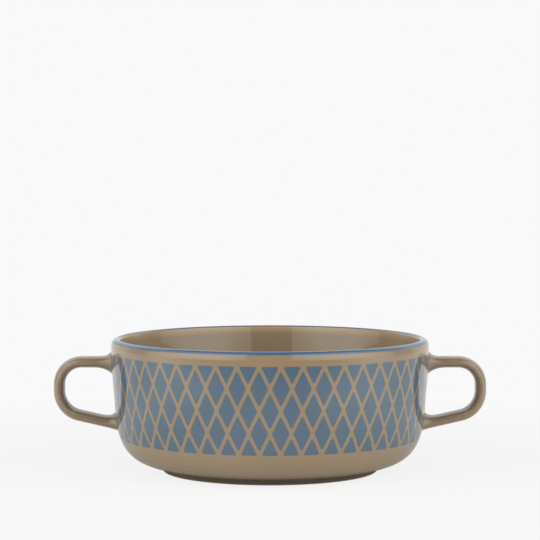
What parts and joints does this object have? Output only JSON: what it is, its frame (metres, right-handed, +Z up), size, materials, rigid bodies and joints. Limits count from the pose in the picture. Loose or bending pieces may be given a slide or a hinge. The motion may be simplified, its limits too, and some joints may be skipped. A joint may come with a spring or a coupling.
{
  "type": "lug soup bowl",
  "caption": "Two-handled glazed stoneware soup bowl on a low foot ring, with strap handles luted to the wall, a printed lozenge band and a painted line over the lip.",
  "frame": {"origin": "on the table, under the middle of the bowl, at the centre of the foot ring's lower face", "axes": "+Z up through the middle of the bowl, +X through the right handle, +Y to the back, so the front faces -Y"},
  "size_m": [0.1852, 0.1358, 0.0568],
  "materials": {
    "taupe_glaze": "high gloss",
    "glazed_slip": "high gloss",
    "painted_line": "high gloss",
    "blue_print": "high gloss"
  },
  "bodies": {
    "root": {"bowl_body": "taupe_glaze", "left_handle": "taupe_glaze", "right_handle": "taupe_glaze", "left_upper_slip": "glazed_slip", "left_lower_slip": "glazed_slip", "right_upper_slip": "glazed_slip", "right_lower_slip": "glazed_slip", "rim_line": "painted_line", "front_print": "blue_print", "back_print": "blue_print"}
  },
  "joints": []
}
